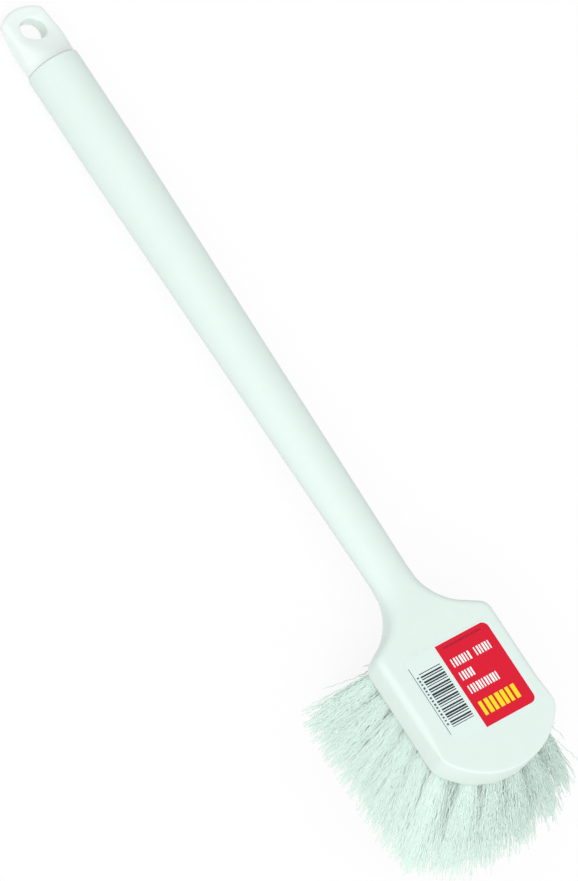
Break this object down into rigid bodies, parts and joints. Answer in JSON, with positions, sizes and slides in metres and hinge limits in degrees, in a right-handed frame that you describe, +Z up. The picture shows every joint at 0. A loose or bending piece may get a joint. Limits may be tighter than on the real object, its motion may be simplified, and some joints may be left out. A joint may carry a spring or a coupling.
{
  "type": "long-handled scrub brush",
  "caption": "Long-handled scrub brush: a tapered hollow handle widens into a flat-topped block of flared bristle tufts, with a press-in hang cap at the far end.",
  "frame": {"origin": "the middle of the overall box's base: the brush rests on the floor on the lower edge of the handle's open end and on the rear bristle tips", "axes": "+X runs from the hang cap towards the head, +Y to the brush's left when seen from the handle, and +Z is up, away from the floor"},
  "size_m": [0.54, 0.1224, 0.0771],
  "materials": {
    "body_plastic": "satin moulded polypropylene, white with a cool tint",
    "cap_plastic": "satin moulded polypropylene, a little greyer than the body",
    "bristle": "translucent natural polypropylene filament",
    "label_film": "printed self-adhesive film, red panel with plain stripes"
  },
  "bodies": {
    "root": {"brush_body": "body_plastic", "hang_cap": "cap_plastic", "label": "label_film", "tuft_row_1_column_1": "bristle", "tuft_row_1_column_2": "bristle", "tuft_row_1_column_3": "bristle", "tuft_row_1_column_4": "bristle", "tuft_row_1_column_5": "bristle", "tuft_row_1_column_6": "bristle", "tuft_row_2_column_1": "bristle", "tuft_row_2_column_2": "bristle", "tuft_row_2_column_3": "bristle", "tuft_row_2_column_4": "bristle", "tuft_row_2_column_5": "bristle", "tuft_row_2_column_6": "bristle", "tuft_row_3_column_1": "bristle", "tuft_row_3_column_2": "bristle", "tuft_row_3_column_3": "bristle", "tuft_row_3_column_4": "bristle", "tuft_row_3_column_5": "bristle", "tuft_row_3_column_6": "bristle", "tuft_row_4_column_1": "bristle", "tuft_row_4_column_2": "bristle", "tuft_row_4_column_3": "bristle", "tuft_row_4_column_4": "bristle", "tuft_row_4_column_5": "bristle", "tuft_row_4_column_6": "bristle", "tuft_row_5_column_1": "bristle", "tuft_row_5_column_2": "bristle", "tuft_row_5_column_3": "bristle", "tuft_row_5_column_4": "bristle", "tuft_row_5_column_5": "bristle", "tuft_row_5_column_6": "bristle", "tuft_row_6_column_1": "bristle", "tuft_row_6_column_2": "bristle", "tuft_row_6_column_3": "bristle", "tuft_row_6_column_4": "bristle", "tuft_row_6_column_5": "bristle", "tuft_row_6_column_6": "bristle", "tuft_row_7_column_2": "bristle", "tuft_row_7_column_3": "bristle", "tuft_row_7_column_4": "bristle", "tuft_row_7_column_5": "bristle"}
  },
  "joints": []
}
